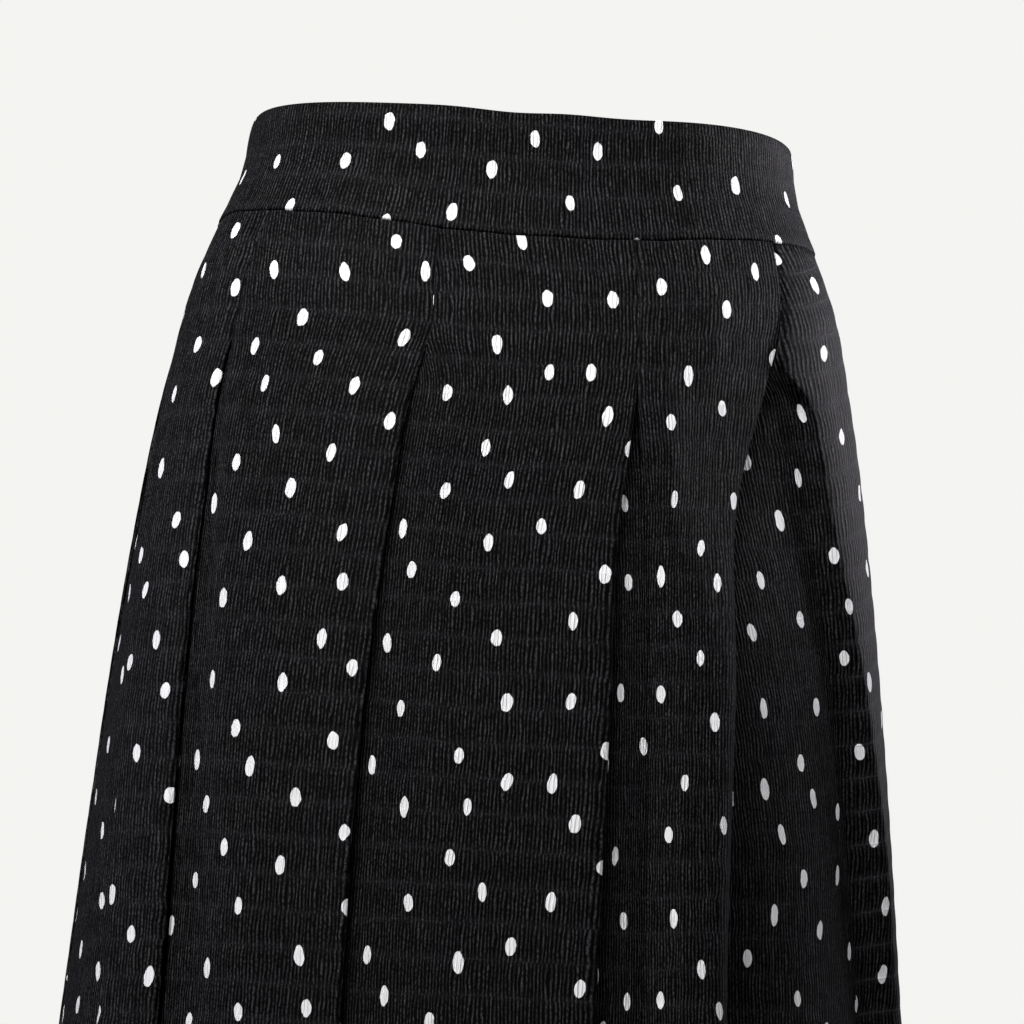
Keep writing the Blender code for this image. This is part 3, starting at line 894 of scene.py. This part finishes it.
def hemStitches(name, cloth):
    random = np.random.default_rng(hemLine["seed"])
    rows = skirtRows()
    j = int(np.searchsorted(rows, skirt["fall"] - hemLine["up"]))
    line = np.vstack([cloth[j], cloth[j][:1]])
    below = np.vstack([cloth[j + 1], cloth[j + 1][:1]])
    run = np.concatenate([[0], np.cumsum(np.linalg.norm(np.diff(line, axis=0), axis=1))])
    count = sum(skirt["columns"].values())
    first = skirt["columns"]["top"] + skirt["columns"]["edge"]
    last = count - skirt["columns"]["floor"] - skirt["columns"]["climb"]
    mesh = bmesh.new()
    made = 0
    for at in np.arange(0.0, run[-1], hemLine["apart"]):
        column = int(np.searchsorted(run, at, side="right")) - 1
        if first - 1 <= column % count <= last + 1:
            continue
        part = (at - run[column]) / (run[column + 1] - run[column])
        centre = Vector(line[column] + part * (line[column + 1] - line[column]))
        along = Vector(line[column + 1] - line[column]).normalized()
        down = Vector(below[column] - line[column]).normalized()
        outward = along.cross(-down).normalized()
        downward = along.cross(outward)
        centre += outward * (skirt["hemThickness"] / 2 + hemLine["halfHeight"] * hemLine["proud"])
        centre += downward * random.normal(0.0, hemLine["uneven"])
        matrix = Matrix((along * hemLine["halfLength"], downward * hemLine["halfWidth"],
                         outward * hemLine["halfHeight"])).transposed().to_4x4()
        matrix.translation = centre
        bmesh.ops.create_icosphere(mesh, subdivisions=1, radius=1.0, matrix=matrix)
        made += 1
    bmesh.ops.recalc_face_normals(mesh, faces=mesh.faces)
    data = bpy.data.meshes.new(name)
    mesh.to_mesh(data)
    mesh.free()
    data.shade_smooth()
    data.materials.append(threadBlack)
    piece = bpy.data.objects.new(name, data)
    bpy.context.scene.collection.objects.link(piece)
    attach(piece, "root")
    print(name, "made:", made, "stitches")
    return piece


stitches = hemStitches("hemStitches", cloth)

# waistband, folded double over its top edge

band = {
    "down": (0.0, 0.5, 1.0),
    "halfWidth": (0.1250, 0.1287, 0.1380),
    "halfDepth": (0.0920, 0.0950, 0.1030),
    "squareness": (2.60, 2.55, 2.46),
    "proud": 0.0004,
    "layer": 0.0008,
    "apart": 0.0010,  # between the middles of its two layers
    "seamGap": 0.0003,
    "columns": 150,
    "outerRows": 46,
    "outerFrom": 0.985,
    "outerTo": 0.02,
    "foldRows": 7,
    "innerRows": 14,
    "innerFrom": 0.06,
    "tuck": 0.0009,  # the outer layer turns in at the waist seam
    "tuckRise": 0.0004,
    "tuckPart": 0.35,
    "wall": 0.0006,  # from the form to the outside of the skirt's wall
    "height": 0.056,
    "scallop": 0.00025,  # how far it bows out between its pucker rows
    "topUneven": 0.0004,
    "topWaves": (61.0, 1.3, 23.0),
    "dotStretch": 1.13,
    "dotShift": 0.034,
    "dotDrop": 0.105,
}


def bandHalf(name, firstShare, node):
    half = band["apart"] / 2
    rows = [(1.0, -band["tuck"], band["tuckRise"]), (1.0, -band["tuck"] * band["tuckPart"], 0.0)]
    rows += [(down, 0.0, 0.0) for down in np.linspace(band["outerFrom"], band["outerTo"], band["outerRows"])]
    middle = len(rows)
    for turn in np.linspace(0, math.pi, band["foldRows"]):
        rows.append((0.0, -half + half * math.cos(turn), half * math.sin(turn) - half))
    rows += [(down, -2 * half, 0.0) for down in np.linspace(band["innerFrom"], 1.0, band["innerRows"])]
    outerOut = band["proud"] + band["wall"] - band["layer"] / 2
    points, flats = [], []
    shares = np.linspace(firstShare, firstShare + 0.5, band["columns"] + 1)
    widest = outlineAt(band, 1.0)["round"]
    close, bent, slow = band["topWaves"]
    uneven = band["topUneven"] * np.sin(shares * close + bent * np.sin(shares * slow))
    for n, (down, aside, lift) in enumerate(rows):
        outline = outlineAt(band, down)
        top = dip(shares, form["waistDip"]) + uneven * (1 - down) ** 3
        bottom = seamLevel(shares) + band["seamGap"] / 2
        level = top + down * (bottom - top) + lift
        v = down * band["height"]
        scallop = band["scallop"] * (abs(math.sin(math.pi * v / crinkle["rowHeight"])) - 0.5)
        plan = onOutline(outline, shares, np.full(len(shares), outerOut + aside + scallop))
        points.append(np.column_stack([plan, level]))
        way = np.full(len(shares), (v if n < middle else -v) + band["dotDrop"])
        flats.append(np.column_stack([shares * widest + band["dotShift"], way]))
    points = np.array(points)[::-1]
    flats = np.array(flats)[::-1]
    spots = dotPlaces(flats, band["dotStretch"])
    piece = clothPiece(name, points, flats, spots, bandCloth, band["layer"])
    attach(piece, "root")
    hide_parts(node)
    return piece


waistbandFront = bandHalf("waistbandFront", -0.25, "waistband_front")
waistbandBack = bandHalf("waistbandBack", 0.25, "waistband_back")

# studio

studio = {
    "floorLevel": -1.05,
    "floorRadius": 14.0,
    "floorSides": 96,
    "floorRoughness": 0.9,
    "floorColour": (0.86, 0.86, 0.85, 1.0),
    "floorGlow": (0.46, 0.46, 0.45, 1.0),  # seen by the camera only, so the floor lights nothing
    "backdrop": (0.905, 0.905, 0.887, 1.0),
    "ambient": 0.03,
    "lights": (
        {"name": "rightUpper", "around": 106, "height": 0.35, "distance": 1.5, "size": 0.25, "power": 0.92,
         "spread": 26, "aim": 0.03, "colour": (0.97, 0.94, 1.0)},
        {"name": "rightLower", "around": 128, "height": 0.10, "distance": 1.2, "size": 0.5, "power": 1.0,
         "spread": 80, "aim": -0.30, "colour": (0.95, 0.91, 1.0)},
        {"name": "rightFront", "around": 60, "height": 0.60, "distance": 1.1, "size": 0.5, "power": 1.6,
         "spread": 80, "aim": 0.03, "colour": (1.0, 0.98, 1.0)},
        {"name": "leftRim", "around": -112, "height": 0.45, "distance": 1.9, "size": 0.8, "power": 1.5,
         "spread": 70, "aim": -0.22, "colour": (0.80, 0.80, 1.0)},
        {"name": "frontNear", "around": -40, "height": 0.90, "distance": 1.0, "size": 0.7, "power": 6.5,
         "spread": 90, "aim": 0.10, "colour": (1.0, 0.995, 0.98)},
        {"name": "frontLow", "around": -30, "height": 0.60, "distance": 2.2, "size": 1.2, "power": 6.5,
         "spread": 90, "aim": -0.20, "colour": (1.0, 0.995, 0.98)},
        {"name": "behind", "around": 175, "height": 1.2, "distance": 3.0, "size": 1.6, "power": 12,
         "spread": 180, "aim": -0.35, "colour": (1.0, 1.0, 1.0)},
    ),
}


def makeStudio():
    mesh = bmesh.new()
    bmesh.ops.create_circle(
        mesh, cap_ends=True, segments=studio["floorSides"], radius=studio["floorRadius"]
    )
    data = bpy.data.meshes.new("floor")
    mesh.to_mesh(data)
    mesh.free()
    data.transform(Matrix.Translation((0, 0, studio["floorLevel"])))
    material = bpy.data.materials.new("paleFloor")
    material.use_nodes = True
    shader = material.node_tree.nodes["Principled BSDF"]
    shader.inputs["Base Color"].default_value = studio["floorColour"]
    shader.inputs["Roughness"].default_value = studio["floorRoughness"]
    looked = addNode(material.node_tree, "ShaderNodeLightPath").outputs["Is Camera Ray"]
    glow = blendColour(material.node_tree, looked, (0.0, 0.0, 0.0, 1.0), studio["floorGlow"])
    material.node_tree.links.new(glow, shader.inputs["Emission Color"])
    shader.inputs["Emission Strength"].default_value = 1.0
    data.materials.append(material)
    floor = bpy.data.objects.new("floor", data)
    bpy.context.scene.collection.objects.link(floor)
    world = bpy.data.worlds.new("studio")
    world.use_nodes = True
    tree = world.node_tree
    tree.nodes.clear()
    seen = addNode(tree, "ShaderNodeBackground", {"Color": studio["backdrop"], "Strength": 1.0})
    soft = addNode(tree, "ShaderNodeBackground", {"Color": studio["backdrop"], "Strength": studio["ambient"]})
    rays = addNode(tree, "ShaderNodeLightPath")
    mix = addNode(tree, "ShaderNodeMixShader", {0: rays.outputs["Is Camera Ray"]})
    tree.links.new(soft.outputs[0], mix.inputs[1])
    tree.links.new(seen.outputs[0], mix.inputs[2])
    ending = addNode(tree, "ShaderNodeOutputWorld")
    tree.links.new(mix.outputs[0], ending.inputs["Surface"])
    bpy.context.scene.world = world
    for light in studio["lights"]:
        lamp = bpy.data.lights.new(light["name"], "AREA")
        lamp.shape = "SQUARE"
        lamp.size = light["size"]
        lamp.energy = light["power"]
        lamp.color = light["colour"]
        lamp.spread = math.radians(light["spread"])
        holder = bpy.data.objects.new(light["name"], lamp)
        around = math.radians(light["around"])
        holder.location = (light["distance"] * math.sin(around), -light["distance"] * math.cos(around),
                           light["height"])
        aim = Vector((0, 0, light["aim"])) - holder.location
        holder.rotation_euler = aim.to_track_quat("-Z", "Y").to_euler()
        bpy.context.scene.collection.objects.link(holder)


makeStudio()
bpy.context.scene.view_settings.view_transform = "Standard"
print("studio lit")
